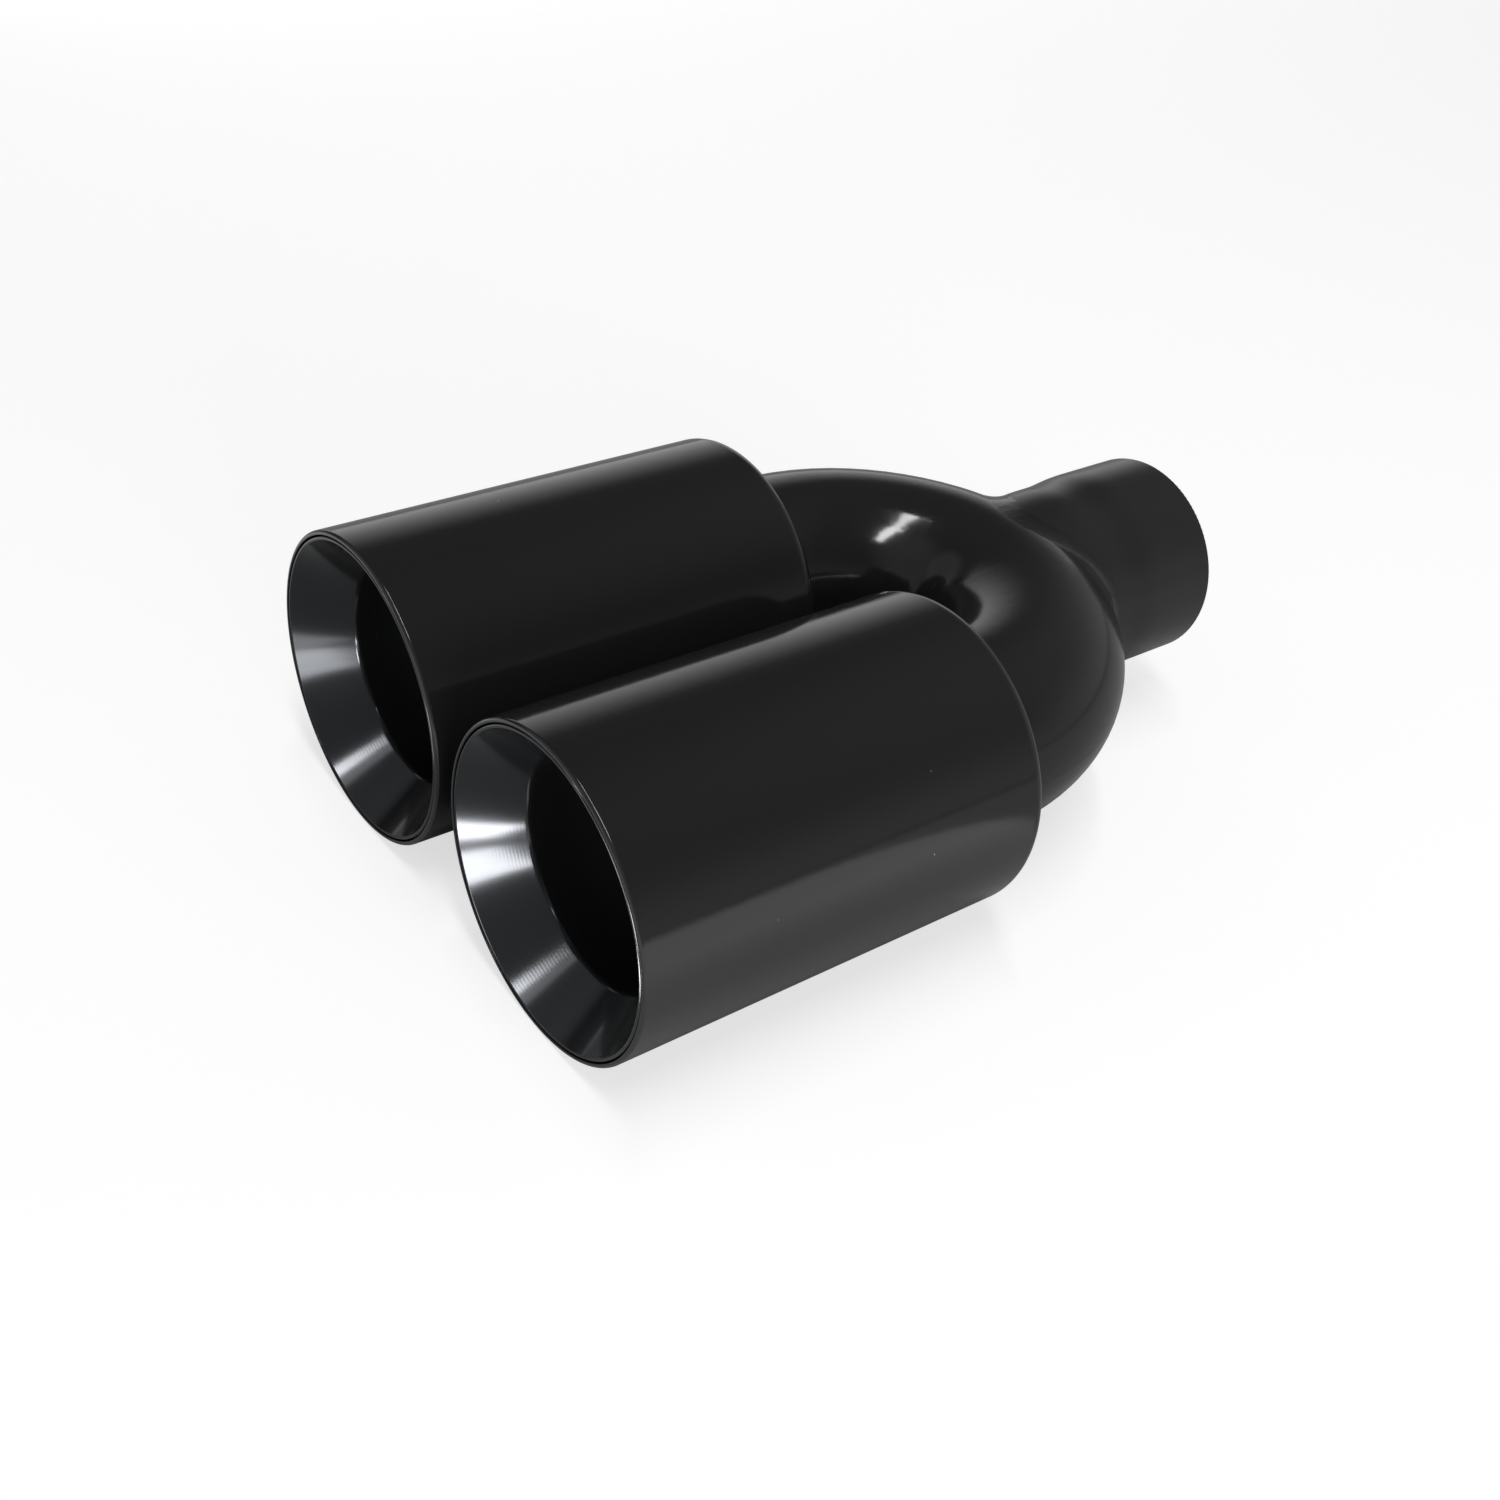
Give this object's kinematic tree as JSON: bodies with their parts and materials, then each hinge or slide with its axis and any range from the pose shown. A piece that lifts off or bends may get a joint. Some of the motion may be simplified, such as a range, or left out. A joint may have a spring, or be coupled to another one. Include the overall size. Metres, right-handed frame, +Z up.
{
  "type": "exhaust tip",
  "caption": "Black exhaust tip with twin double-walled round outlets, side by side, fed by a U-shaped pipe from a round rear inlet.",
  "frame": {"origin": "centre of the inlet pipe's open rear end", "axes": "+Y out of the inlet along its axis, so the outlets open towards -Y; the outlets lie side by side along X; +Z up"},
  "size_m": [0.1844, 0.256, 0.0888],
  "materials": {
    "sleeve_satin_black": "satin black coating on polished stainless sheet",
    "cone_black_chrome": "bright black chrome on the spun cone",
    "pipe_gloss_black": "gloss black coating over ground welds",
    "inlet_satin_black": "satin black coating on the clamped end"
  },
  "bodies": {
    "root": {"twin_pipe": "pipe_gloss_black", "inlet_pipe": "inlet_satin_black", "inlet_weld": "pipe_gloss_black", "left_sleeve": "sleeve_satin_black", "right_sleeve": "sleeve_satin_black", "left_cone": "cone_black_chrome", "right_cone": "cone_black_chrome", "left_tip_weld": "pipe_gloss_black", "right_tip_weld": "pipe_gloss_black"}
  },
  "joints": []
}
